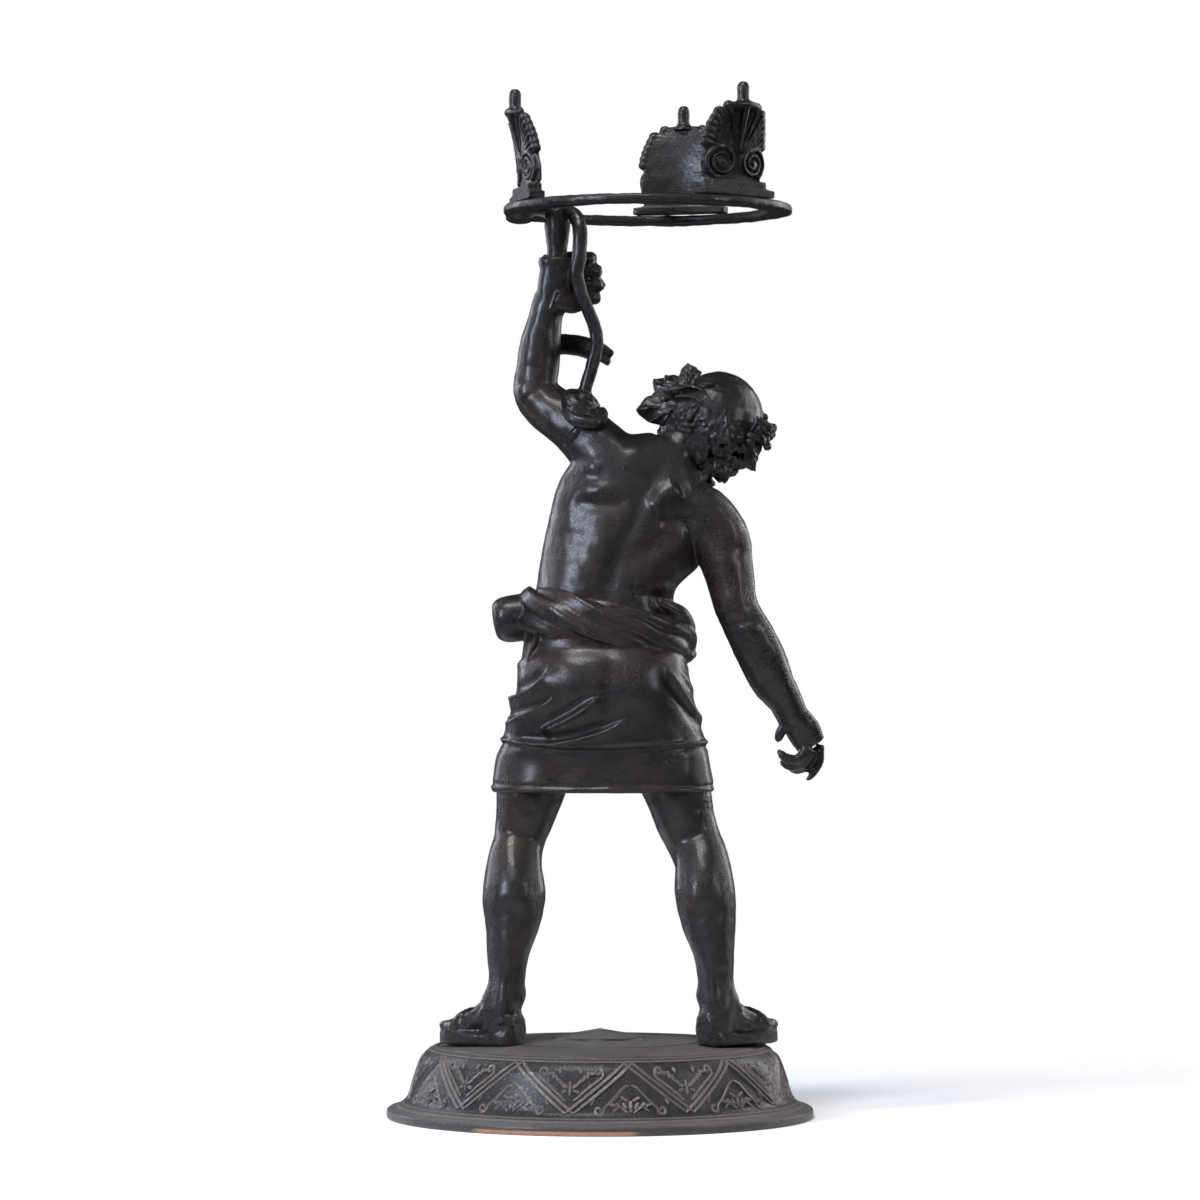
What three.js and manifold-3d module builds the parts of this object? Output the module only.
// A cast bronze silenus on a round plinth. He lifts a serpent ring that carries a glass vase.
// Millimetres, +Z up. The origin is the middle of the plinth's underside.
// The figure faces +Y, and +X is its right hand.

import * as THREE from 'three';
import { mergeVertices } from 'three/addons/utils/BufferGeometryUtils.js';
import Module from 'manifold-3d';

const wasm = await Module();
wasm.setup();

const { Vector3 } = THREE;
const TURN = Math.PI * 2;

// Fit between pieces that touch
const seatGap = 0.3;

// Plinth
const plinthRadius = 122.5;
const plinthLipHeight = 5.4;
const plinthDrumBottomRadius = 111.4;
const plinthDrumTopRadius = 100.2;
const plinthShoulderHeight = 41;
const plinthShoulderRound = 5;
const plinthDrumFlare = 8;
const plinthDomeRise = 4.6;
const plinthGrooveRadius = 58;
const plinthBossRadius = 25.5;
const plinthBossRise = 5;
const plinthFacets = 40;
const reliefPeriods = 10;
const reliefStartAngle = -99;
const reliefBandWidth = 3.4;
const reliefHeight = 1.3;

// Figure, from the soles to the crown of the head
const figureHeight = 383;

// Serpent ring and the parts that carry it
const ringOuterRadius = 84;
const ringBandWidth = 16;
const ringThickness = 6;
const ringCentreX = 27.4;
const ringRiseOverFist = 24.4;
const ringFacets = 36;
const strutRadius = 4;
const postRadius = 6.8;
const strutFootRadius = 12.4;
const strutFootThickness = 5;
const serpentHeadRadius = 6.6;

// Palmettes, three alike
const palmetteAngles = { palmette_right: -46.5, palmette_far: 73.5, palmette_left: 192.5 };
const palmetteWidth = 49.5;
const palmetteHeight = 51;
const palmetteThickness = 4.5;
const palmetteFlare = 7;
const palmetteSetBack = 5;
const palmetteFootWidth = 56;
const palmetteFootDepth = 10;
const palmetteFootHeight = 9;
const voluteRadius = 10.7;
const finialRadius = 3.8;
const finialHeight = 14.5;
const beadsPerSide = 5;
const petalCount = 3;

// Fineness of the joined forms: most faces, and the furthest that thinning may move a surface
const figureFaces = 5200;
const holderFaces = 1200;
const palmetteFaces = 340;
const plinthFaces = 1400;
const castTolerance = 0.45;

// Figure measures below are shares of the figure's height: one unit is 1/383 of it.
const unit = figureHeight / 383;
const soleHeight = plinthShoulderHeight + plinthDomeRise - 0.4;

const at = (x, y, z) => new Vector3(x * unit, y * unit, soleHeight + z * unit);

// Joining and cutting

function solid(geometry) {
  const bare = geometry.index ? geometry.clone() : geometry;
  bare.deleteAttribute('normal');
  bare.deleteAttribute('uv');
  const welded = mergeVertices(bare, 1e-4);
  const mesh = new wasm.Mesh({
    numProp: 3,
    vertProperties: new Float32Array(welded.attributes.position.array),
    triVerts: new Uint32Array(welded.index.array),
    tolerance: 0.02,
  });
  mesh.merge();
  return new wasm.Manifold(mesh);
}

// Forms that cross can shut in a sliver of air. The casting is solid there.
function join(solids) {
  const whole = solids.reduce((sum, piece) => sum.add(piece));
  const bodies = whole.decompose().filter((body) => body.volume() > 0);
  return bodies.reduce((sum, body) => sum.add(body));
}

// Joins leave many small faces. This merges the edges that matter least to the form,
// until the goal is met or the next merge would stray further than the tolerance.
function thinned(manifold, goal, tolerance) {
  const welded = mergeVertices(geometryOf(manifold), 1e-5);
  const place = welded.attributes.position;
  const points = Array.from({ length: place.count }, (_, i) => new Vector3().fromBufferAttribute(place, i));
  const faces = [];
  for (let i = 0; i < welded.index.count; i += 3) {
    faces.push([welded.index.getX(i), welded.index.getX(i + 1), welded.index.getX(i + 2)]);
  }
  const around = points.map(() => new Set());
  const planes = points.map(() => []);
  const normalOf = (a, b, c) => b.clone().sub(a).cross(c.clone().sub(a));
  faces.forEach((face, f) => {
    const normal = normalOf(...face.map((p) => points[p]));
    const area = normal.length();
    normal.divideScalar(area || 1);
    const plane = { normal, offset: -normal.dot(points[face[0]]), area };
    for (const p of face) {
      around[p].add(f);
      planes[p].push(plane);
    }
  });
  const strayAt = (spot, list) => {
    let most = 0;
    for (const { normal, offset } of list) most = Math.max(most, Math.abs(normal.dot(spot) + offset));
    return most;
  };
  const neighbours = (p) => {
    const found = new Set();
    for (const f of around[p]) for (const q of faces[f]) if (q !== p) found.add(q);
    return found;
  };
  const bestSpot = (a, b) => {
    const list = [...planes[a], ...planes[b]];
    const middle = points[a].clone().lerp(points[b], 0.5);
    return [points[a], points[b], middle]
      .map((spot) => ({ spot, stray: strayAt(spot, list) }))
      .reduce((best, next) => (next.stray < best.stray ? next : best));
  };
  const mayMerge = (a, b, spot) => {
    const shared = [...neighbours(a)].filter((p) => neighbours(b).has(p));
    if (shared.length !== 2) return false;
    for (const p of [a, b]) {
      for (const f of around[p]) {
        const face = faces[f];
        if (face.includes(a) && face.includes(b)) continue;
        const before = normalOf(...face.map((q) => points[q]));
        const after = normalOf(...face.map((q) => (q === p ? spot : points[q])));
        if (after.length() < 1e-3 || before.normalize().dot(after.normalize()) < 0.3) return false;
      }
    }
    return true;
  };
  let live = faces.length;
  while (live > goal) {
    const edges = [];
    faces.forEach((face) => {
      if (!face) return;
      for (let i = 0; i < 3; i += 1) {
        const a = face[i];
        const b = face[(i + 1) % 3];
        if (a < b) edges.push({ a, b, ...bestSpot(a, b), length: points[a].distanceTo(points[b]) });
      }
    });
    const weight = (edge) => edge.stray + edge.length * 0.01;
    edges.sort((m, n) => weight(m) - weight(n));
    const busy = new Set();
    let merges = 0;
    for (const { a, b, spot, stray } of edges) {
      if (live <= goal || merges > edges.length * 0.08) break;
      if (stray > tolerance || busy.has(a) || busy.has(b) || !mayMerge(a, b, spot)) continue;
      for (const p of [...neighbours(a), ...neighbours(b)]) busy.add(p);
      points[a] = spot.clone();
      planes[a] = [...new Set([...planes[a], ...planes[b]])];
      for (const f of around[b]) {
        if (faces[f].includes(a)) {
          for (const q of faces[f]) if (q !== b) around[q].delete(f);
          faces[f] = null;
          live -= 1;
        } else {
          faces[f] = faces[f].map((q) => (q === b ? a : q));
          around[a].add(f);
        }
      }
      around[b].clear();
      merges += 1;
    }
    if (merges === 0) break;
  }
  const geometry = new THREE.BufferGeometry();
  geometry.setAttribute('position', new THREE.Float32BufferAttribute(points.flatMap((p) => p.toArray()), 3));
  geometry.setIndex(faces.filter(Boolean).flat());
  return solid(geometry);
}

function geometryOf(manifold) {
  const mesh = manifold.getMesh();
  const geometry = new THREE.BufferGeometry();
  geometry.setAttribute('position', new THREE.BufferAttribute(new Float32Array(mesh.vertProperties), 3));
  geometry.setIndex(Array.from(mesh.triVerts));
  return geometry;
}

// Free forms

// A smooth value through a list of rows, at t from 0 to 1.
function along(rows, t) {
  const last = rows.length - 1;
  const place = Math.min(Math.max(t, 0), 1) * last;
  const i = Math.min(Math.floor(place), last - 1);
  const f = place - i;
  const before = rows[Math.max(i - 1, 0)];
  const start = rows[i];
  const end = rows[i + 1];
  const after = rows[Math.min(i + 2, last)];
  return start.map((value, column) => {
    const slopeIn = (end[column] - before[column]) / 2;
    const slopeOut = (after[column] - value) / 2;
    const rise = end[column] - value;
    const cubic = slopeIn + slopeOut - 2 * rise;
    const square = 3 * rise - 2 * slopeIn - slopeOut;
    return value + f * (slopeIn + f * (square + f * cubic));
  });
}

// A closed skin over rings of points, capped at both ends or run round to its start.
function skin(rings, endless = false) {
  const sides = rings[0].length;
  const points = rings.flat();
  const faces = [];
  const spans = endless ? rings.length : rings.length - 1;
  for (let row = 0; row < spans; row += 1) {
    const here = row * sides;
    const next = ((row + 1) % rings.length) * sides;
    for (let side = 0; side < sides; side += 1) {
      const other = (side + 1) % sides;
      faces.push(here + side, here + other, next + other, here + side, next + other, next + side);
    }
  }
  if (!endless) {
    const ends = [[0, false], [rings.length - 1, true]];
    for (const [row, top] of ends) {
      const middle = rings[row].reduce((sum, p) => sum.add(p), new Vector3()).divideScalar(sides);
      const hub = points.push(middle) - 1;
      for (let side = 0; side < sides; side += 1) {
        const a = row * sides + side;
        const b = row * sides + (side + 1) % sides;
        faces.push(...(top ? [hub, a, b] : [hub, b, a]));
      }
    }
  }
  const geometry = new THREE.BufferGeometry();
  const flat = points.flatMap((p) => [p.x, p.y, p.z]);
  geometry.setAttribute('position', new THREE.Float32BufferAttribute(flat, 3));
  geometry.setIndex(faces);
  return geometry;
}

// Points round a centre. squareness 1 is an ellipse, and less than 1 is boxier.
function ring(centre, across, away, width, depth, sides, squareness = 1) {
  const round = (value) => Math.sign(value) * Math.abs(value) ** squareness;
  return Array.from({ length: sides }, (_, side) => {
    const angle = (side / sides) * TURN;
    return centre.clone()
      .addScaledVector(across, width * round(Math.cos(angle)))
      .addScaledVector(away, depth * round(Math.sin(angle)));
  });
}

// A limb along stations of [x, y, z, half width, half depth]. across is the direction of its width.
function limb(stations, { sides = 12, rows = 12, across = new Vector3(1, 0, 0), squareness = 1, grow = 0 }) {
  const rings = [];
  const step = 0.01;
  for (let row = 0; row <= rows; row += 1) {
    const t = row / rows;
    const [x, y, z, width, depth] = along(stations, t);
    const [x0, y0, z0] = along(stations, t - step);
    const [x1, y1, z1] = along(stations, t + step);
    const forward = new Vector3(x1 - x0, y1 - y0, z1 - z0).normalize();
    const u = across.clone().addScaledVector(forward, -across.dot(forward)).normalize();
    const v = new Vector3().crossVectors(forward, u);
    rings.push(ring(at(x, y, z), u, v, width * unit + grow, depth * unit + grow, sides, squareness));
  }
  return skin(rings);
}

// An upright trunk along stations of [x, y, z, half width, half depth, lean in degrees].
// It leans over its right side, so each section drops towards +X.
function trunk(stations, { sides, rows, squareness = 1, shape = null }) {
  const rings = [];
  for (let row = 0; row <= rows; row += 1) {
    const [x, y, z, width, depth, lean] = along(stations, row / rows);
    const angle = THREE.MathUtils.degToRad(lean);
    const u = new Vector3(Math.cos(angle), 0, -Math.sin(angle));
    const v = new Vector3(0, 1, 0);
    rings.push(ring(at(x, y, z), u, v, width * unit, depth * unit, sides, squareness));
  }
  const geometry = skin(rings);
  return shape ? reshape(geometry, shape) : geometry;
}

function blob(centre, radii, { sides = 12, rows = 8, turn = [0, 0, 0] } = {}) {
  const sphere = new THREE.SphereGeometry(1, sides, rows);
  sphere.scale(radii[0] * unit, radii[1] * unit, radii[2] * unit);
  sphere.rotateX(THREE.MathUtils.degToRad(turn[0]));
  sphere.rotateY(THREE.MathUtils.degToRad(turn[1]));
  sphere.rotateZ(THREE.MathUtils.degToRad(turn[2]));
  const middle = at(...centre);
  sphere.translate(middle.x, middle.y, middle.z);
  return sphere;
}

// Moves each point by what change(x, y, z) gives, in the figure's own units.
function reshape(geometry, change) {
  const place = geometry.attributes.position;
  for (let i = 0; i < place.count; i += 1) {
    const x = place.getX(i) / unit;
    const y = place.getY(i) / unit;
    const z = (place.getZ(i) - soleHeight) / unit;
    const [dx, dy, dz] = change(x, y, z);
    const moved = at(x + dx, y + dy, z + dz);
    place.setXYZ(i, moved.x, moved.y, moved.z);
  }
  return geometry;
}

const hump = (distance, reach) => Math.exp(-((distance / reach) ** 2));

// Plinth

const drumHeight = plinthShoulderHeight - plinthLipHeight;
const domeTop = plinthShoulderHeight + plinthDomeRise;

// Radius of the drum's side at a share of its height. It flares at its foot and rounds over at its top.
function drumRadius(share) {
  const side = THREE.MathUtils.lerp(plinthDrumBottomRadius, plinthDrumTopRadius, share ** 1.15);
  const low = Math.max(0, 1 - share / 0.22);
  const high = Math.max(0, (share - 0.75) / 0.25);
  return side + plinthDrumFlare * low ** 2 - plinthShoulderRound * high ** 2;
}

function plinthProfile() {
  const lipEdge = 1;
  const groove = 0.8;
  const topEdge = plinthDrumTopRadius - plinthShoulderRound - 0.6;
  const stepEdge = topEdge - 4;
  const domeAt = (r) => domeTop - plinthDomeRise * (r / stepEdge) ** 2;
  const drumAt = (share) => [drumRadius(share), plinthLipHeight + drumHeight * share];
  return [
    [0, 0],
    [plinthRadius - lipEdge, 0],
    [plinthRadius, lipEdge],
    [plinthRadius, plinthLipHeight - lipEdge],
    [plinthRadius - lipEdge, plinthLipHeight],
    drumAt(0.05),
    drumAt(0.13),
    drumAt(0.26),
    drumAt(0.5),
    drumAt(0.8),
    drumAt(0.91),
    drumAt(0.98),
    [topEdge, plinthShoulderHeight],
    [stepEdge + 2, plinthShoulderHeight - groove],
    [stepEdge, plinthShoulderHeight + groove / 2],
    [plinthGrooveRadius + 1, domeAt(plinthGrooveRadius + 1)],
    [plinthGrooveRadius, domeAt(plinthGrooveRadius) - groove],
    [plinthGrooveRadius - 1, domeAt(plinthGrooveRadius - 1)],
    [plinthBossRadius + 1.5, domeAt(plinthBossRadius)],
    [plinthBossRadius, domeTop + plinthBossRise * 0.2],
    [0, domeTop + plinthBossRise],
  ];
}

function plinthBody(rise = 0) {
  const profile = plinthProfile().map(([r, z]) => new THREE.Vector2(r, z + rise));
  profile[0].y = 0;
  profile[1].y = 0;
  const body = new THREE.LatheGeometry(profile, plinthFacets);
  return solid(body.rotateX(Math.PI / 2));
}

// One raised band that climbs the drum from one angle to another.
function reliefBand(fromAngle, toAngle) {
  const steps = 2;
  const half = reliefBandWidth / 2;
  const rings = [];
  for (let step = 0; step <= steps; step += 1) {
    const share = 0.2 + 0.66 * (step / steps);
    const angle = THREE.MathUtils.lerp(fromAngle, toAngle, step / steps);
    const height = plinthLipHeight + drumHeight * share;
    const spread = half / drumRadius(share);
    const point = (turn, raise) => {
      const r = drumRadius(share) * Math.cos(Math.PI / plinthFacets) + raise;
      return new Vector3(r * Math.cos(turn), r * Math.sin(turn), height);
    };
    rings.push([
      point(angle - spread * 1.6, -3),
      point(angle + spread * 1.6, -3),
      point(angle + spread, reliefHeight),
      point(angle - spread, reliefHeight),
    ]);
  }
  return solid(outward(skin(rings)));
}

function plinth() {
  const bands = [];
  const half = TURN / reliefPeriods / 2;
  for (let period = 0; period < reliefPeriods; period += 1) {
    const start = period * 2 * half + THREE.MathUtils.degToRad(reliefStartAngle);
    const inset = half * 0.06;
    bands.push(reliefBand(start + inset, start + half - inset));
    bands.push(reliefBand(start + 2 * half - inset, start + half + inset));
  }
  return thinned(join([plinthBody(), ...bands]), plinthFaces, castTolerance / 3);
}

// Legs and feet, each mirrored only in how it is called

function leg(stations) {
  return solid(limb(stations, { sides: 10, rows: 12 }));
}

const leftLeg = [
  [-57, -29, 6, 9, 10.5],
  [-55.2, -29, 22, 10.9, 11.5],
  [-53.2, -28, 34, 10.2, 11],
  [-52.3, -26, 50, 12.2, 14],
  [-49.8, -23, 67, 16, 18],
  [-49.2, -21, 83, 18, 19],
  [-48.8, -15, 101, 15.8, 17],
  [-46.5, -9, 113, 14.6, 16.5],
  [-43.5, -8, 126, 16.6, 18],
  [-39, -8, 146, 20.4, 21],
  [-30, -7, 178, 24, 25],
];

const rightLeg = [
  [67.4, -29, 6, 9, 10.5],
  [66.8, -29, 22, 10.6, 11.5],
  [66, -28, 34, 10.2, 11],
  [64.9, -26, 50, 11.8, 14],
  [62, -23, 67, 15.6, 18],
  [60, -21, 83, 17.2, 19],
  [58.3, -15, 101, 15.8, 17],
  [53.6, -9, 113, 15.8, 16.5],
  [48.6, -8, 126, 17.2, 18],
  [43, -8, 146, 20, 21],
  [32, -7, 178, 24, 25],
];

// Where each sandal stands, and which way its inner side lies
const leftSandal = { heel: [-46, -37], toe: [-86.5, -4], inner: -1 };
const rightSandal = { heel: [59, -37], toe: [95, 5], inner: 1 };

// A sandalled foot from its heel to its toe, with sole, toes and straps.
function foot({ heel: [heelX, heelY], toe: [toeX, toeY], inner }) {
  const length = Math.hypot(toeX - heelX, toeY - heelY);
  const ahead = new Vector3((toeX - heelX) / length, (toeY - heelY) / length, 0);
  const aside = new Vector3(ahead.y, -ahead.x, 0).multiplyScalar(inner);
  const spot = (s, off, z) => at(
    heelX + ahead.x * s * length + aside.x * off,
    heelY + ahead.y * s * length + aside.y * off,
    z,
  );
  // Share of the length, sideways shift to the inner side, half width, height of the back of the foot
  const shape = [
    [0, 0, 5.5, 10],
    [0.06, 0, 8, 15],
    [0.22, 0, 9.4, 24],
    [0.42, 0.4, 9.8, 21],
    [0.62, 1, 11.4, 15],
    [0.8, 1.4, 12.4, 11.5],
    [0.92, 1, 10.5, 9],
  ];
  const soleTop = 4;
  const section = (s, raise) => {
    const [, off, half, high] = along(shape, s);
    const middle = (high + soleTop) / 2;
    return { off, half: half + raise, middle, rise: (high - soleTop) / 2 + 2 + raise };
  };
  const hoop = (s, raise) => {
    const share = along(shape, s)[0];
    const { off, half, middle, rise } = section(s, raise);
    return ring(spot(share, off, middle), aside, new Vector3(0, 0, 1), half * unit, rise * unit, 8, 0.85);
  };
  // Rows along the foot. The raised ones are the sandal's straps.
  const strap = 1.3;
  const rows = [
    [0, 0], [0.14, 0], [0.34, 0], [0.345, strap], [0.46, strap], [0.465, 0], [0.7, 0], [0.705, strap],
    [0.82, strap], [0.825, 0], [1, 0],
  ];
  const body = skin(rows.map(([s, raise]) => hoop(s, raise)));
  const soleOutline = (z) => {
    const edge = [0, 0.07, 0.3, 0.6, 0.85, 1].map((t) => {
      const half = t === 0 ? 4 : along(shape, Math.min(t, 0.95))[2];
      return [t * 1.01, t === 1 ? 6 : half + 1];
    });
    const near = edge.map(([t, half]) => spot(t, half + 0.8, z));
    const far = edge.map(([t, half]) => spot(t, 0.8 - half, z)).reverse();
    return [...near, ...far];
  };
  const soleBottom = -2.6;
  const sole = skin([soleOutline(soleBottom), soleOutline(soleTop + 0.6)]);
  const toes = Array.from({ length: 5 }, (_, toe) => {
    const off = 9.2 - toe * 4.6;
    const reach = 0.97 - 0.03 * toe - 0.014 * toe * toe;
    const radius = (toe === 0 ? 3.3 : 2.5) * unit;
    return bentTube([spot(reach - 0.14, off * 0.9, 7), spot(reach, off, 6)], radius, radius, { sides: 5, steps: 1 });
  });
  return join([solid(outward(body)), solid(outward(sole)), ...toes]);
}

// Turns a closed skin's faces outwards where its rings run the other way.
function outward(geometry) {
  const place = geometry.attributes.position;
  const index = geometry.index.array;
  let volume = 0;
  const corner = (i) => new Vector3().fromBufferAttribute(place, i);
  for (let i = 0; i < index.length; i += 3) {
    volume += corner(index[i]).dot(corner(index[i + 1]).cross(corner(index[i + 2])));
  }
  if (volume < 0) {
    for (let i = 0; i < index.length; i += 3) {
      const swap = index[i + 1];
      index[i + 1] = index[i + 2];
      index[i + 2] = swap;
    }
  }
  return geometry;
}

// A finger, toe or strand bent through points, with a rounded tip. Points are in the object's frame.
function bentTube(points, radius, tipRadius, { sides = 5, steps = points.length, flat = 1 } = {}) {
  const curve = new THREE.CatmullRomCurve3(points, false, 'centripetal');
  const rings = [];
  const hint = new Vector3(0.31, 0.9, 0.3);
  const addRing = (centre, forward, r) => {
    const u = hint.clone().addScaledVector(forward, -hint.dot(forward)).normalize();
    const v = new Vector3().crossVectors(forward, u);
    rings.push(ring(centre, u, v, r, r * flat, sides));
  };
  for (let step = 0; step <= steps; step += 1) {
    const t = step / steps;
    addRing(curve.getPoint(t), curve.getTangent(t), THREE.MathUtils.lerp(radius, tipRadius, t));
  }
  const tipForward = curve.getTangent(1);
  const tip = curve.getPoint(1).addScaledVector(tipForward, tipRadius * 0.7);
  addRing(tip, tipForward, tipRadius * 0.5);
  return solid(outward(skin(rings)));
}

// A finger through [x, y, z] points in figure units.
function finger(points, radius, tipRadius = radius * 0.85) {
  return bentTube(points.map(([x, y, z]) => at(x, y, z)), radius * unit, tipRadius * unit);
}

// Drapery: the wrapped kilt with its hem band and slanting folds

const kiltStations = [
  [1.4, -2, 141.5, 63.8, 37.5, 0],
  [1.6, -2, 148, 63, 37.5, 0],
  [1.8, -2, 158, 61.4, 37, 0],
  [2.2, -2, 168, 59.6, 37, 0],
  [2.4, -2, 170.5, 60.2, 38, 0],
  [2.2, -2, 174, 57.6, 37, 0],
  [1.6, -2, 187, 53, 38, 0],
  [1.4, -2, 200, 49.8, 39, 0],
  [2.2, -2, 213, 48, 38, 2],
  [2.6, -1, 226, 46, 36, 4],
  [3, 0, 240, 41, 32, 6],
];

// The buttocks fill the cloth behind.
function kiltShape(x, y, z) {
  const seat = 6 * hump(Math.hypot((x + 14) / 1.2, z - 203), 18) + 6 * hump(Math.hypot((x - 26) / 1.2, z - 200), 18);
  const facing = THREE.MathUtils.clamp((-2 - y) / 20, 0, 1);
  return [0, -seat * facing, 0];
}

const kiltSquareness = 0.8;

// A point on the cloth at x and z, on its back or its front.
function onCloth(x, z, back) {
  const rowAt = (t) => along(kiltStations, t);
  let t = 0;
  while (t < 1 && rowAt(t)[2] < z) t += 0.01;
  const [cx, cy, , width, depth] = rowAt(t);
  const share = Math.min(Math.abs(x - cx) / width, 1);
  const rise = depth * (1 - share ** (2 / kiltSquareness)) ** (kiltSquareness / 2);
  const y = cy + (back ? -rise : rise);
  return at(x, y + kiltShape(x, y, z)[1], z);
}

// Each fold runs over the cloth from one [x, z] to another, with a sag in z between them.
const kiltFolds = [
  { from: [-4, 190], to: [-56, 170], sag: -3, back: true },
  { from: [24, 184], to: [-30, 170.5], sag: -4, back: true },
  { from: [-24, 199], to: [-49, 184], sag: -2, back: true },
  { from: [40, 214], to: [57, 173], sag: 1, back: true },
  { from: [-28, 212], to: [34, 176], sag: -6, back: false },
  { from: [-40, 198], to: [12, 174], sag: -5, back: false },
  { from: [0, 216], to: [50, 184], sag: -4, back: false },
];

function foldRidge({ from, to, sag, back }) {
  const points = [0, 0.25, 0.5, 0.75, 1].map((t) => onCloth(
    THREE.MathUtils.lerp(from[0], to[0], t),
    THREE.MathUtils.lerp(from[1], to[1], t) + sag * 4 * t * (1 - t),
    back,
  ));
  return bentTube(points, 1.2 * unit, 2.6 * unit, { sides: 5, steps: 5 });
}

function kilt() {
  const cloth = trunk(kiltStations, { sides: 28, rows: 11, squareness: kiltSquareness, shape: kiltShape });
  const wall = 4;
  const inner = [
    [1.4, -2, 134, 63.8 - wall, 37.5 - wall, 0],
    [1.6, -2, 150, 63 - wall, 37.5 - wall, 0],
  ];
  const hollow = trunk(inner, { sides: 20, rows: 1, squareness: kiltSquareness });
  return join([solid(outward(cloth)), ...kiltFolds.map(foldRidge)]).subtract(solid(outward(hollow)));
}

// The belt is the cloth's upper edge, rolled and twisted round the waist, higher on the left.
function belt() {
  const steps = 28;
  const sides = 12;
  const lobes = 4;
  const rings = [];
  for (let step = 0; step < steps; step += 1) {
    const angle = (step / steps) * TURN;
    const x = 2.5 + 44.5 * Math.cos(angle);
    const y = 1 + 35.5 * Math.sin(angle);
    const z = 236 - 9 * Math.cos(angle) - 1.5 * Math.sin(angle);
    const out = new Vector3(Math.cos(angle) * 35.5, Math.sin(angle) * 44.5, 0).normalize();
    const up = new Vector3(0.18, 0, 1).normalize();
    const twist = angle * 1.5;
    rings.push(Array.from({ length: sides }, (_, side) => {
      const turn = (side / sides) * TURN;
      const swell = 1 + 0.16 * Math.cos(lobes * turn + twist * lobes);
      return at(x, y, z)
        .addScaledVector(out, 7.2 * unit * swell * Math.cos(turn))
        .addScaledVector(up, 12 * unit * swell * Math.sin(turn));
    }));
  }
  return solid(outward(skin(rings, true)));
}

// The belt bunches over the right hip.
function beltBunch() {
  return solid(blob([43, 0, 242], [8.5, 14, 9], { sides: 8, rows: 5 }));
}

// The loose end of the roll stands out on the left hip.
function rollEnd() {
  const stations = [
    [-36, -4, 243, 12.5, 12.5],
    [-48, -5, 241, 13.2, 13.2],
    [-57, -5.5, 239.6, 12.2, 12.2],
    [-60.5, -5.8, 239, 8.5, 8.5],
  ];
  return solid(outward(limb(stations, { sides: 10, rows: 4, across: new Vector3(0, 1, 0) })));
}

// Trunk

const trunkStations = [
  [2, -2, 190, 44, 34, 0],
  [3, 1, 240, 41, 33, 5],
  [4, 2, 262, 39.5, 32, 8],
  [13, 1, 282, 45, 31, 14],
  [18, -1, 304, 44, 29, 20],
  [27, -3, 320, 40, 24, 26],
  [36, -3, 332, 28, 19, 28],
  [42, -1, 341, 15, 14, 26],
];

// Shoulder blades and ribs stand out and the spine sinks in, on the back only.
function backShape(x, y, z) {
  if (y > 6) {
    const breast = 4 * hump(Math.hypot(x + 4, z - 305), 16) + 4 * hump(Math.hypot(x - 38, z - 292), 16);
    return [0, breast, 0];
  }
  const spineX = 8 + (z - 240) * 0.31 + Math.max(z - 290, 0) * 0.12;
  const spine = -3.5 * hump(x - spineX, 7) * THREE.MathUtils.smoothstep(345 - z, 0, 30);
  const blades = 5 * hump(Math.hypot(x - 2, z - 322), 15) + 5 * hump(Math.hypot(x - 48, z - 308), 14);
  const loins = 3 * hump(Math.hypot(x - 24, z - 268), 14) + 3 * hump(Math.hypot(x + 8, z - 272), 14);
  const facing = THREE.MathUtils.clamp((6 - y) / 20, 0, 1);
  return [0, -(spine + blades + loins) * facing, 0];
}

function torso() {
  const body = trunk(trunkStations, { sides: 22, rows: 12, squareness: 0.92, shape: backShape });
  const belly = blob([5, 22, 252], [36, 26, 29], { sides: 12, rows: 8, turn: [-12, 0, 0] });
  return join([solid(outward(body)), solid(belly)]);
}

// Arms. The left one is raised and grips the post, and the right one hangs out to the side.

const raisedArmStations = [
  [26, -6, 312, 17, 17],
  [12, -6, 326, 18.5, 18],
  [-2, -3, 339.5, 17, 17],
  [-16, 3, 352.5, 15.6, 16],
  [-30, 9, 362.6, 14.2, 14.5],
  [-37, 12, 372, 12.9, 13.6],
  [-36, 12, 385, 12.6, 12.6],
  [-34.4, 11, 399, 12, 12],
  [-32, 10, 412, 10.2, 9.8],
  [-28.8, 10, 426, 9.6, 9],
];

function raisedArm(grow = 0) {
  const arm = limb(raisedArmStations, { sides: 12, rows: 13, across: new Vector3(1, 0, 0.6), grow });
  return solid(outward(arm));
}

const fistX = -24.6;
const fistY = 10;
const fistTop = 449;

function raisedHand(grow = 0) {
  const palmStations = [
    [-28.5, 9, 419, 9, 8],
    [-26.5, 9, 428, 10, 9],
    [-25, 9.5, 440, 9.8, 9.5],
    [-24.5, 10, 448.6, 9.4, 9],
  ];
  const palm = limb(palmStations, { sides: 10, rows: 3, squareness: 0.75, grow });
  // Height, knuckle reach to the right, and thickness of each finger, from the first to the little one
  const fingers = [[450, -5, 4.3], [442, -1, 4.5], [434, 0.4, 4.5], [426, -2, 4.6]];
  const curled = fingers.map(([z, reach, r]) => finger([
    [-32, 15, z - 2],
    [-22, 21, z],
    [-11, 18, z + 0.5],
    [reach, 10, z - 0.5],
    [-12, 3.6, z - 1.5],
  ], r + grow, r * 0.95 + grow));
  const thumb = finger([[-26, 2, 424], [-15, 3, 421.5], [-7.5, 8, 427.5]], 6 + grow, 5.4 + grow);
  return join([solid(outward(palm)), ...curled, thumb]);
}

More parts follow.
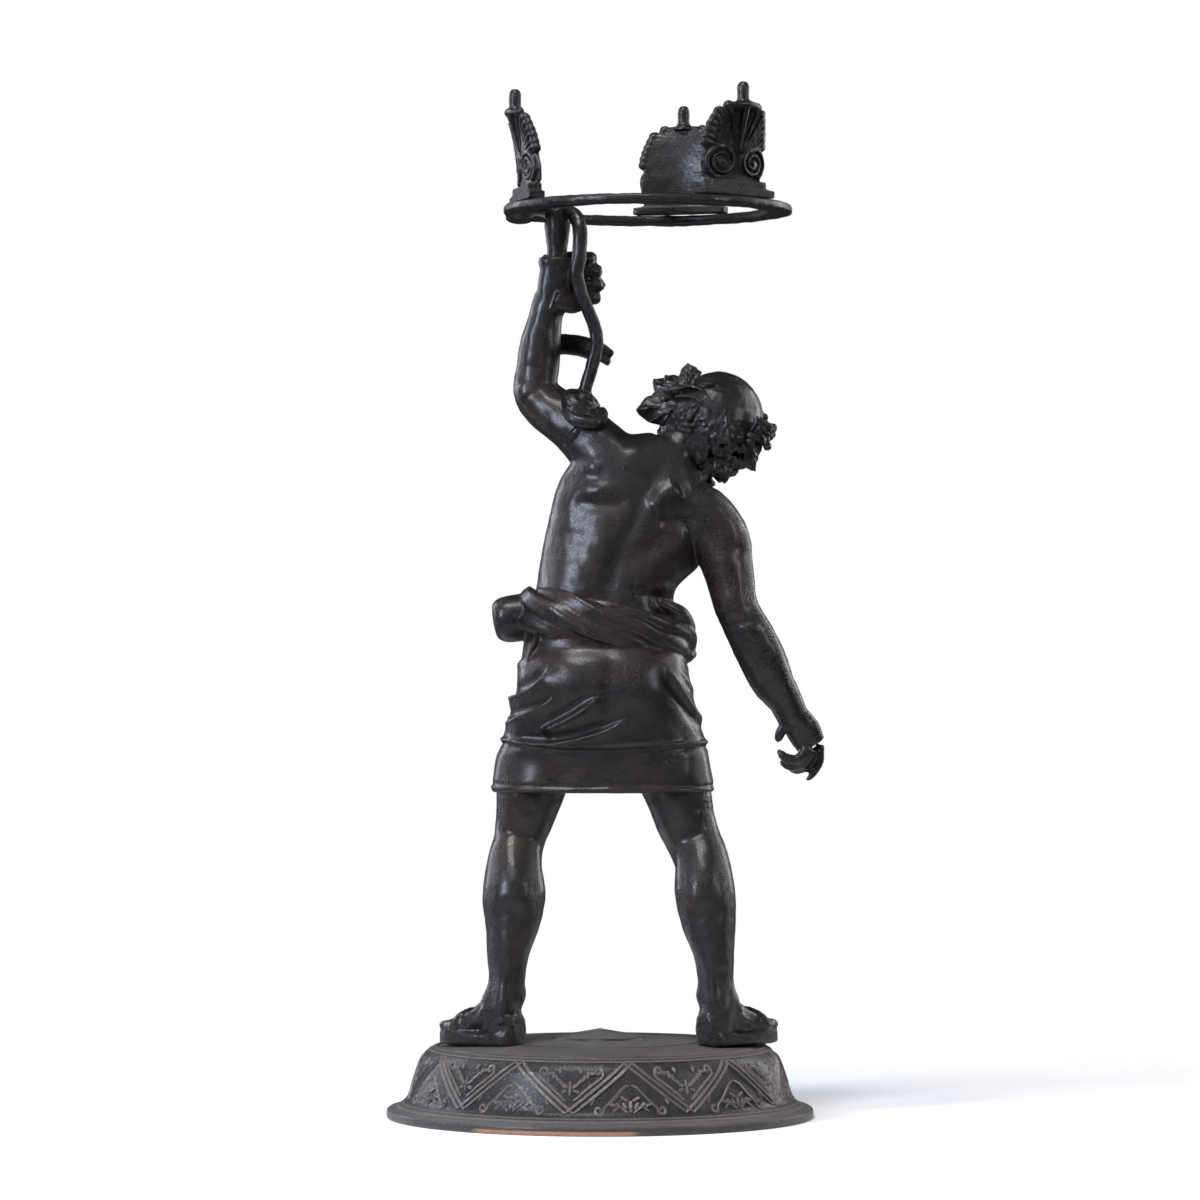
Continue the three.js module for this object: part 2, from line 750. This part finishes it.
const loweredArmStations = [
  [44, -6, 309, 15, 15],
  [58.5, -7, 300, 17, 17],
  [69, -8, 285, 17, 17],
  [74, -10, 266, 14, 14.2],
  [78.6, -12, 246, 12.6, 13.2],
  [87.4, -13, 229, 13.4, 13.4],
  [93.6, -11, 216, 13.4, 13],
  [99.2, -7, 204, 12.2, 12],
  [106.6, -2, 193, 9.9, 9.4],
  [111.5, 2, 182, 9, 8],
];

function loweredArm() {
  return solid(outward(limb(loweredArmStations, { sides: 10, rows: 12, across: new Vector3(1, 0, 0.4) })));
}

// The open right hand: thumb and first finger meet in a loop, and the little finger is held out.
function loweredHand() {
  const palm = limb([
    [111.5, 1, 184, 8.8, 6.5],
    [117, 4, 176, 9.6, 6.2],
    [121.5, 6, 168, 8.6, 5.6],
  ], { sides: 8, rows: 2, squareness: 0.85 });
  const thumb = finger([[110, 0, 181], [104.4, -1, 176.5], [101.6, 0, 169.5]], 3.5, 2.8);
  const first = finger([[119.5, 2, 166], [114, 1, 159.6], [106.5, 0, 160.5], [102, 0, 165.5]], 3.2, 2.6);
  const middle = finger([[122.5, 5, 165], [117, 6, 157], [109, 6, 155.6], [103.5, 5, 159]], 3.2, 2.6);
  const third = finger([[125, 8, 165.5], [121.5, 10, 156.5], [114, 11, 153], [108, 9, 154.5]], 3.1, 2.5);
  const little = finger([[127, 9, 168], [126.6, 9, 158.5], [123, 8, 151.5], [118.6, 7, 147]], 2.8, 2.2);
  return join([solid(outward(palm)), thumb, first, middle, third, little]);
}

// Head. Its own frame has the face along +Y and the crown along +Z.

const headCentre = [67.5, 10, 355];
const headTurn = new THREE.Euler(
  THREE.MathUtils.degToRad(-8),
  THREE.MathUtils.degToRad(17),
  THREE.MathUtils.degToRad(-3),
  'ZYX',
);

function placeHead(geometry) {
  geometry.scale(unit, unit, unit);
  geometry.applyMatrix4(new THREE.Matrix4().makeRotationFromEuler(headTurn));
  const centre = at(...headCentre);
  geometry.translate(centre.x, centre.y, centre.z);
  return solid(outward(geometry));
}

function headBlob(centre, radii, sides = 10, rows = 7, turn = 0) {
  const sphere = mergeVertices(bareSphere(sides, rows));
  sphere.scale(...radii);
  sphere.rotateX(THREE.MathUtils.degToRad(turn));
  sphere.translate(...centre);
  return placeHead(sphere);
}

function bareSphere(sides, rows) {
  const sphere = new THREE.SphereGeometry(1, sides, rows);
  sphere.rotateX(Math.PI / 2);
  sphere.deleteAttribute('normal');
  sphere.deleteAttribute('uv');
  return sphere;
}

// A lock of hair or beard: a bent, tapering strand in the head's frame.
function lock(root, bend, tip, radius) {
  const points = [root, bend, tip];
  const rings = [];
  for (let row = 0; row <= 2; row += 1) {
    const t = row / 2;
    const [x, y, z] = along(points, t);
    const [x0, y0, z0] = along(points, t - 0.02);
    const [x1, y1, z1] = along(points, t + 0.02);
    const forward = new Vector3(x1 - x0, y1 - y0, z1 - z0).normalize();
    const hint = Math.abs(forward.x) < 0.8 ? new Vector3(1, 0, 0) : new Vector3(0, 1, 0);
    const u = hint.addScaledVector(forward, -hint.dot(forward)).normalize();
    const v = new Vector3().crossVectors(forward, u);
    const r = radius * (1 - 0.75 * t * t);
    rings.push(ring(new Vector3(x, y, z), u, v, r, r * 0.8, 5));
  }
  return placeHead(skin(rings));
}

// The wreath lies low on the nape and high on the brow.
const wreathHalfWidth = 27;
const wreathHalfDepth = 30;
const wreathTilt = 26;
const leafCount = 10;

function wreathRadius(angle) {
  const a = THREE.MathUtils.degToRad(angle);
  return 1 / Math.hypot(Math.cos(a) / wreathHalfWidth, Math.sin(a) / wreathHalfDepth);
}

// A pointed, lobed leaf that lies on the head with its stalk at the wreath's band.
function leaf(angle, turn, length, width) {
  const outline = [[0, 0.14], [0.2, 0.8], [0.36, 0.62], [0.58, 1], [1, 0.05]];
  const right = outline.map(([share, half]) => new THREE.Vector2(share * length, half * width / 2));
  const left = outline.map(([share, half]) => new THREE.Vector2(share * length, -half * width / 2)).reverse();
  const thick = 1.8;
  const plate = new THREE.ExtrudeGeometry(new THREE.Shape([...right, ...left]), { depth: thick, bevelEnabled: false });
  plate.deleteAttribute('normal');
  plate.deleteAttribute('uv');
  const place = plate.attributes.position;
  for (let i = 0; i < place.count; i += 1) {
    const share = place.getX(i) / length;
    place.setZ(i, place.getZ(i) - 2 * share * share - 0.14 * Math.abs(place.getY(i)));
  }
  const degrees = THREE.MathUtils.degToRad;
  const frame = new THREE.Matrix4()
    .multiply(new THREE.Matrix4().makeRotationX(degrees(wreathTilt)))
    .multiply(new THREE.Matrix4().makeRotationZ(degrees(angle)))
    .multiply(new THREE.Matrix4().makeTranslation(wreathRadius(angle) + 0.6, 0, 0))
    .multiply(new THREE.Matrix4().makeRotationY(degrees(76)))
    .multiply(new THREE.Matrix4().makeRotationZ(degrees(turn)));
  plate.applyMatrix4(frame);
  return placeHead(mergeVertices(plate, 1e-4));
}

// The large leaves over the left ear stand out from the head. Each has a root, a tip and a width.
const sideLeaves = [
  [[-25, -6, 3], [-45, -7, -12], 17],
  [[-25, -3, 6], [-44, -2, 13], 13],
  [[-21, -4, 14], [-27, -4, 27], 12],
  [[-24, 6, 6], [-40, 9, 1], 14],
];

function sprayLeaf(root, tip, width) {
  const start = new Vector3(...root);
  const reach = new Vector3(...tip).sub(start);
  const away = new Vector3(0, 1, 0).addScaledVector(reach, -reach.y / reach.lengthSq()).normalize();
  const across = new Vector3().crossVectors(reach, away).normalize();
  const rings = [[0, 0.3], [0.3, 0.9], [0.62, 1], [0.85, 0.5], [1, 0.06]].map(([share, half]) => {
    const centre = start.clone().addScaledVector(reach, share);
    return ring(centre, across, away, half * width / 2, 1.2 + 1.6 * half, 4);
  });
  return placeHead(skin(rings));
}

function wreath() {
  const band = new THREE.TorusGeometry(1, 0.11, 4, 14);
  band.scale(wreathHalfWidth, wreathHalfDepth, wreathHalfWidth);
  band.rotateX(THREE.MathUtils.degToRad(wreathTilt));
  band.deleteAttribute('normal');
  band.deleteAttribute('uv');
  const pieces = [placeHead(mergeVertices(band, 1e-4))];
  for (let i = 0; i < leafCount; i += 1) {
    const angle = -90 + (i - (leafCount - 1) / 2) * (330 / leafCount);
    const onBrow = Math.sin(THREE.MathUtils.degToRad(angle)) > 0.5;
    const down = i % 2 === 0;
    const turn = onBrow ? 90 : down ? 24 : 205;
    pieces.push(leaf(angle, turn, down ? 20 : 14, down ? 17 : 13));
  }
  pieces.push(...sideLeaves.map(([root, tip, width]) => sprayLeaf(root, tip, width)));
  for (const side of [-1, 1]) {
    for (let i = 0; i < 2; i += 1) {
      const bearing = 90 - side * (62 + 22 * i);
      const a = THREE.MathUtils.degToRad(bearing);
      const r = wreathRadius(bearing) + 4;
      const tilt = THREE.MathUtils.degToRad(wreathTilt);
      const y = r * Math.sin(a);
      pieces.push(headBlob([r * Math.cos(a), y * Math.cos(tilt), y * Math.sin(tilt)], [5.4, 5.4, 5.4], 6, 4));
    }
  }
  return join(pieces);
}

function head() {
  const skull = headBlob([0, -1, 0], [26.6, 29, 28], 14, 9);
  const face = headBlob([0, 10, -12], [19.5, 18, 19], 10, 6);
  const nose = headBlob([0, 28.6, -8], [3.8, 5, 7], 6, 4, 18);
  const brow = headBlob([0, 22, 0.5], [15, 6, 3.6], 8, 4);
  const lips = headBlob([0, 27, -18], [6, 3.4, 2.6], 6, 4);
  const ears = [-1, 1].map((side) => headBlob([side * 25.6, -1, -8], [3.2, 6, 8.5], 6, 4, -10));
  const beard = [];
  for (let i = 0; i < 5; i += 1) {
    const a = (i - 2) / 2;
    beard.push(lock([a * 12, 20 - 8 * a * a, -17], [a * 11, 25 - 8 * a * a, -26],
      [a * 9, 20 - 4 * a * a, -39 + 12 * Math.abs(a)], 5.4));
  }
  const nape = [];
  for (let i = 0; i < 4; i += 1) {
    const a = (i - 1.5) / 1.5;
    nape.push(lock([a * 17, -21 + 4 * Math.abs(a), -10], [a * 18, -23 + 5 * Math.abs(a), -19],
      [a * 15, -18 + 5 * Math.abs(a), -27], 4.6));
  }
  const chin = headBlob([0, 18, -23], [10.5, 9, 8.5], 8, 5);
  return join([skull, face, nose, brow, lips, ...ears, chin, ...beard, ...nape, wreath()]);
}

function neck() {
  const stations = [
    [38, -3, 326, 17, 16],
    [46, 0, 337, 15.5, 15],
    [56, 4, 344, 14.6, 15],
    [64, 8, 352, 14, 14],
  ];
  return solid(outward(limb(stations, { sides: 10, rows: 4, across: new Vector3(0, 1, 0) })));
}

// Serpent ring: the ring, the strand that runs in to the post, the strut, its foot and the head

const ringUnderside = soleHeight + fistTop * unit + ringRiseOverFist;
const ringTop = ringUnderside + ringThickness;
const ringMiddle = new Vector3(ringCentreX, fistY * unit, ringUnderside + ringThickness / 2);

function tube(points, radius, { sides = 8, steps = 20, flat = 1, taper = null } = {}) {
  const curve = new THREE.CatmullRomCurve3(points, false, 'centripetal');
  const rings = [];
  for (let step = 0; step <= steps; step += 1) {
    const t = step / steps;
    const forward = curve.getTangentAt(t);
    const hint = new Vector3(0, 1, 0);
    const u = hint.addScaledVector(forward, -hint.dot(forward)).normalize();
    const v = new Vector3().crossVectors(forward, u);
    const r = taper ? taper(t) : radius;
    rings.push(ring(curve.getPointAt(t), u, v, r, r * flat, sides));
  }
  return solid(outward(skin(rings)));
}

function serpentRing() {
  const half = ringThickness / 2;
  const edge = Math.min(1.6, half * 0.6);
  const inner = ringOuterRadius - ringBandWidth;
  const profile = [
    [ringOuterRadius, 0],
    [ringOuterRadius - edge, half],
    [inner + edge, half],
    [inner, 0],
    [inner + edge, -half],
    [ringOuterRadius - edge, -half],
    [ringOuterRadius, 0],
  ].map(([r, z]) => new THREE.Vector2(r, z));
  const band = new THREE.LatheGeometry(profile, ringFacets);
  band.rotateX(Math.PI / 2);
  band.translate(ringMiddle.x, ringMiddle.y, ringMiddle.z);
  return solid(band);
}

const postTop = new Vector3(fistX * unit, fistY * unit, ringMiddle.z);

function post(grow = 0) {
  const low = at(fistX, fistY, fistTop - 22);
  const high = postTop.clone();
  const rings = [
    [low.z - grow, postRadius * 0.8],
    [at(0, 0, fistTop).z, postRadius * 0.88],
    [high.z - 9, postRadius * 1.08],
    [high.z, postRadius],
  ].map(([z, r]) => ring(new Vector3(low.x, low.y, z), new Vector3(1, 0, 0), new Vector3(0, 1, 0),
    r + grow, r + grow, 12));
  return solid(outward(skin(rings)));
}

const footSpot = [-10.6, -6, 363.4];
const footNormal = new Vector3(0.46, -0.49, 0.74).normalize();

function strand() {
  const z = ringMiddle.z;
  const y = ringMiddle.y;
  const ringLeft = ringCentreX - ringOuterRadius + ringBandWidth / 2;
  const points = [
    new Vector3(ringLeft, y, z),
    new Vector3(fistX * unit - 14, y - 1, z),
    new Vector3(fistX * unit, y - 2, z),
    new Vector3(fistX * unit + 9, y - 7, z - 2.5),
    new Vector3(fistX * unit + 13, y - 13, z - 12),
    at(fistX + 12.6, -5.5, fistTop - 1),
    at(-13.4, -6, 439),
    at(-11, -6, 427),
    at(-7, -6, 418),
    at(-2.6, -6, 406),
    at(-1.8, -6, 396),
    at(-4.6, -6, 385),
    at(-7.6, -5.6, 375),
    at(...footSpot),
  ];
  const startRadius = ringThickness / 2 - 0.2;
  const taper = (t) => THREE.MathUtils.lerp(startRadius, strutRadius, THREE.MathUtils.smoothstep(t, 0.1, 0.3));
  return tube(points, strutRadius, { sides: 6, steps: 24, taper });
}

function strutFoot() {
  const rings = [
    [-8, 0.9],
    [0, 1],
    [strutFootThickness * 0.55, 0.97],
    [strutFootThickness, 0.6],
    [strutFootThickness + 2.5, 0.36],
  ].map(([s, share]) => {
    const across = new Vector3(0, 1, 0).addScaledVector(footNormal, -footNormal.y).normalize();
    const away = new Vector3().crossVectors(footNormal, across);
    const r = strutFootRadius * share;
    return ring(at(...footSpot).addScaledVector(footNormal, s), across, away, r, r, 12);
  });
  return solid(outward(skin(rings)));
}

// The serpent's body lies over the upper arm as a saddle band. Below, it sinks into the arm.
function armlet() {
  const [x, y, z] = [-9, -1, 347];
  const forward = new Vector3(-0.72, 0.24, 0.62).normalize();
  const across = new Vector3(0, 1, 0).addScaledVector(forward, -forward.y).normalize();
  const away = new Vector3().crossVectors(forward, across);
  const radius = 16 * unit;
  const half = 2.7 * unit;
  const steps = 16;
  const rings = Array.from({ length: steps }, (_, step) => {
    const turn = (step / steps) * TURN;
    const out = across.clone().multiplyScalar(Math.cos(turn)).addScaledVector(away, Math.sin(turn));
    return ring(at(x, y, z).addScaledVector(out, radius), out, forward, half, half * 1.5, 6);
  });
  return solid(outward(skin(rings, true)));
}

// Behind the forearm the body climbs from the armlet and ends in the serpent's head.
function serpentHead() {
  const reach = serpentHeadRadius;
  const points = [
    at(-5, 20, 342),
    at(-16, 25, 357),
    at(-31, 29, 374),
    at(-35, 28, 390),
    at(-27, 27, 399),
    at(-13, 24, 399),
    at(6.6, 20, 391),
  ];
  const taper = (t) => {
    const neckShare = THREE.MathUtils.smoothstep(t, 0.35, 0.6);
    const snout = THREE.MathUtils.smoothstep(t, 0.88, 1);
    return THREE.MathUtils.lerp(strutRadius, reach, neckShare) * (1 - 0.45 * snout);
  };
  const body = tube(points, reach, { sides: 7, steps: 14, taper });
  const mouth = new THREE.CylinderGeometry(1.6 * unit, 1.6 * unit, 16 * unit, 6);
  const gape = at(7.4, 20, 390);
  mouth.translate(gape.x, gape.y, gape.z);
  return body.subtract(solid(mouth));
}

function serpentHolder() {
  const arm = join([raisedArm(seatGap), raisedHand(seatGap)]);
  const clasp = join([strutFoot(), armlet(), serpentHead(), strand()]).subtract(arm);
  return thinned(join([serpentRing(), post(), clasp]), holderFaces, castTolerance / 3);
}

// Palmettes. Modelled facing +X at the ring's middle radius, then turned to their place.

function palmetteShape() {
  const shape = new THREE.Shape();
  const half = palmetteWidth / 2;
  const base = palmetteFootHeight * 0.6;
  const waist = palmetteFootHeight + voluteRadius * 2;
  const top = palmetteHeight;
  const waistHalf = half * 0.9;
  const topHalf = half * 0.7;
  shape.moveTo(-half * 0.72, base);
  shape.lineTo(half * 0.72, base);
  shape.lineTo(half, base + voluteRadius * 0.9);
  shape.lineTo(half * 0.98, base + voluteRadius * 1.5);
  const beadHeight = (top - waist) / beadsPerSide;
  for (let bead = 0; bead < beadsPerSide; bead += 1) {
    const share = (bead + 0.5) / beadsPerSide;
    const out = THREE.MathUtils.lerp(waistHalf, topHalf, share ** 1.6);
    shape.lineTo(out + 1.6, waist + beadHeight * (bead + 0.5));
    shape.lineTo(out - 1, waist + beadHeight * (bead + 1));
  }
  shape.lineTo(finialRadius, top + 1.5);
  shape.lineTo(-finialRadius, top + 1.5);
  for (let bead = beadsPerSide - 1; bead >= 0; bead -= 1) {
    const share = (bead + 0.5) / beadsPerSide;
    const out = THREE.MathUtils.lerp(waistHalf, topHalf, share ** 1.6);
    shape.lineTo(1 - out, waist + beadHeight * (bead + 1));
    shape.lineTo(-out - 1.6, waist + beadHeight * (bead + 0.5));
  }
  shape.lineTo(-half * 0.98, base + voluteRadius * 1.5);
  shape.lineTo(-half, base + voluteRadius * 0.9);
  shape.closePath();
  return shape;
}

// Stands the shape up in the Y-Z plane with its face along +X, and curls its top outwards.
function stand(geometry) {
  geometry.deleteAttribute('normal');
  geometry.deleteAttribute('uv');
  geometry.rotateX(Math.PI / 2);
  geometry.rotateZ(Math.PI / 2);
  const welded = mergeVertices(geometry, 1e-4);
  const place = welded.attributes.position;
  for (let i = 0; i < place.count; i += 1) {
    const share = THREE.MathUtils.clamp(place.getZ(i) / palmetteHeight, 0, 1);
    const y = place.getY(i);
    const curve = y * y / (2 * ringOuterRadius);
    place.setX(i, place.getX(i) - palmetteSetBack + palmetteFlare * share ** 2.4 - curve);
  }
  return welded;
}

function palmette() {
  const plate = new THREE.ExtrudeGeometry(palmetteShape(), { depth: palmetteThickness, bevelEnabled: false });
  plate.translate(0, 0, -palmetteThickness / 2);
  const pieces = [solid(outward(stand(plate)))];
  for (const side of [-1, 1]) {
    const volute = new THREE.TorusGeometry(voluteRadius - 2.2, 2.2, 4, 8);
    const eye = new THREE.CylinderGeometry(2.6, 3.6, palmetteThickness + 4, 6);
    eye.rotateX(Math.PI / 2);
    for (const form of [volute, eye]) {
      form.scale(palmetteWidth / 4 / voluteRadius, 1, 1);
      form.translate(side * palmetteWidth / 4, palmetteFootHeight + voluteRadius * 0.9, 0);
      form.translate(0, 0, -palmetteThickness / 2);
      pieces.push(solid(outward(stand(form))));
    }
  }
  for (let i = 0; i < petalCount; i += 1) {
    const spread = (i - (petalCount - 1) / 2) * 0.42;
    const length = palmetteHeight * 0.5;
    const rib = new THREE.CylinderGeometry(2.6, 1.2, length, 4);
    rib.translate(0, length / 2, 0);
    rib.rotateZ(-spread);
    rib.translate(0, palmetteHeight * 0.44, -palmetteThickness / 2);
    pieces.push(solid(outward(stand(rib))));
  }
  const finial = new THREE.LatheGeometry([
    [0, 0], [finialRadius * 0.7, 0], [finialRadius * 0.6, 0.4], [finialRadius, 0.65], [finialRadius * 0.7, 0.95],
    [0, 1],
  ].map(([r, share]) => new THREE.Vector2(r, share * finialHeight)), 6);
  finial.translate(0, palmetteHeight - 0.5, 0);
  pieces.push(solid(outward(stand(finial))));
  const steps = [[1, 0, 0.5], [0.77, 0.5, 1]];
  for (const [share, low, high] of steps) {
    const height = palmetteFootHeight * (high - low);
    const block = new THREE.BoxGeometry(palmetteFootDepth * share, palmetteFootWidth * share, height + 0.02);
    block.translate(-palmetteSetBack, 0, palmetteFootHeight * (low + high) / 2);
    pieces.push(solid(block));
  }
  return join(pieces);
}

// The figure is cut free of the plinth below it and of the post in its fist.
function figure() {
  const parts = [
    leg(leftLeg),
    leg(rightLeg),
    foot(leftSandal),
    foot(rightSandal),
    kilt(),
    belt(),
    beltBunch(),
    rollEnd(),
    torso(),
    raisedArm(),
    raisedHand(),
    loweredArm(),
    loweredHand(),
    neck(),
    head(),
  ];
  const cast = thinned(join(parts), figureFaces, castTolerance);
  return cast.subtract(plinthBody(seatGap)).subtract(post(seatGap));
}

// Finish and assembly

const darkBronze = () => new THREE.MeshStandardMaterial({ color: 0x2a2320, roughness: 0.42, metalness: 0.85 });
const plinthBronze = () => new THREE.MeshStandardMaterial({ color: 0x4a4543, roughness: 0.6, metalness: 0.7 });

function named(name, manifold, material) {
  const mesh = new THREE.Mesh(geometryOf(manifold), material);
  mesh.name = name;
  return mesh;
}

const group = new THREE.Group();
group.add(named('plinth', plinth(), plinthBronze()));
group.add(named('silenus', figure(), darkBronze()));
group.add(named('serpent_ring', serpentHolder(), darkBronze()));

const seatRadius = ringOuterRadius - ringBandWidth / 2;
const onePalmette = thinned(palmette(), palmetteFaces, castTolerance);
for (const [name, angle] of Object.entries(palmetteAngles)) {
  const mesh = named(name, onePalmette, darkBronze());
  const turn = THREE.MathUtils.degToRad(angle);
  mesh.rotation.z = turn;
  mesh.position.set(
    ringMiddle.x + seatRadius * Math.cos(turn),
    ringMiddle.y + seatRadius * Math.sin(turn),
    ringTop + seatGap,
  );
  group.add(mesh);
}

export default group;
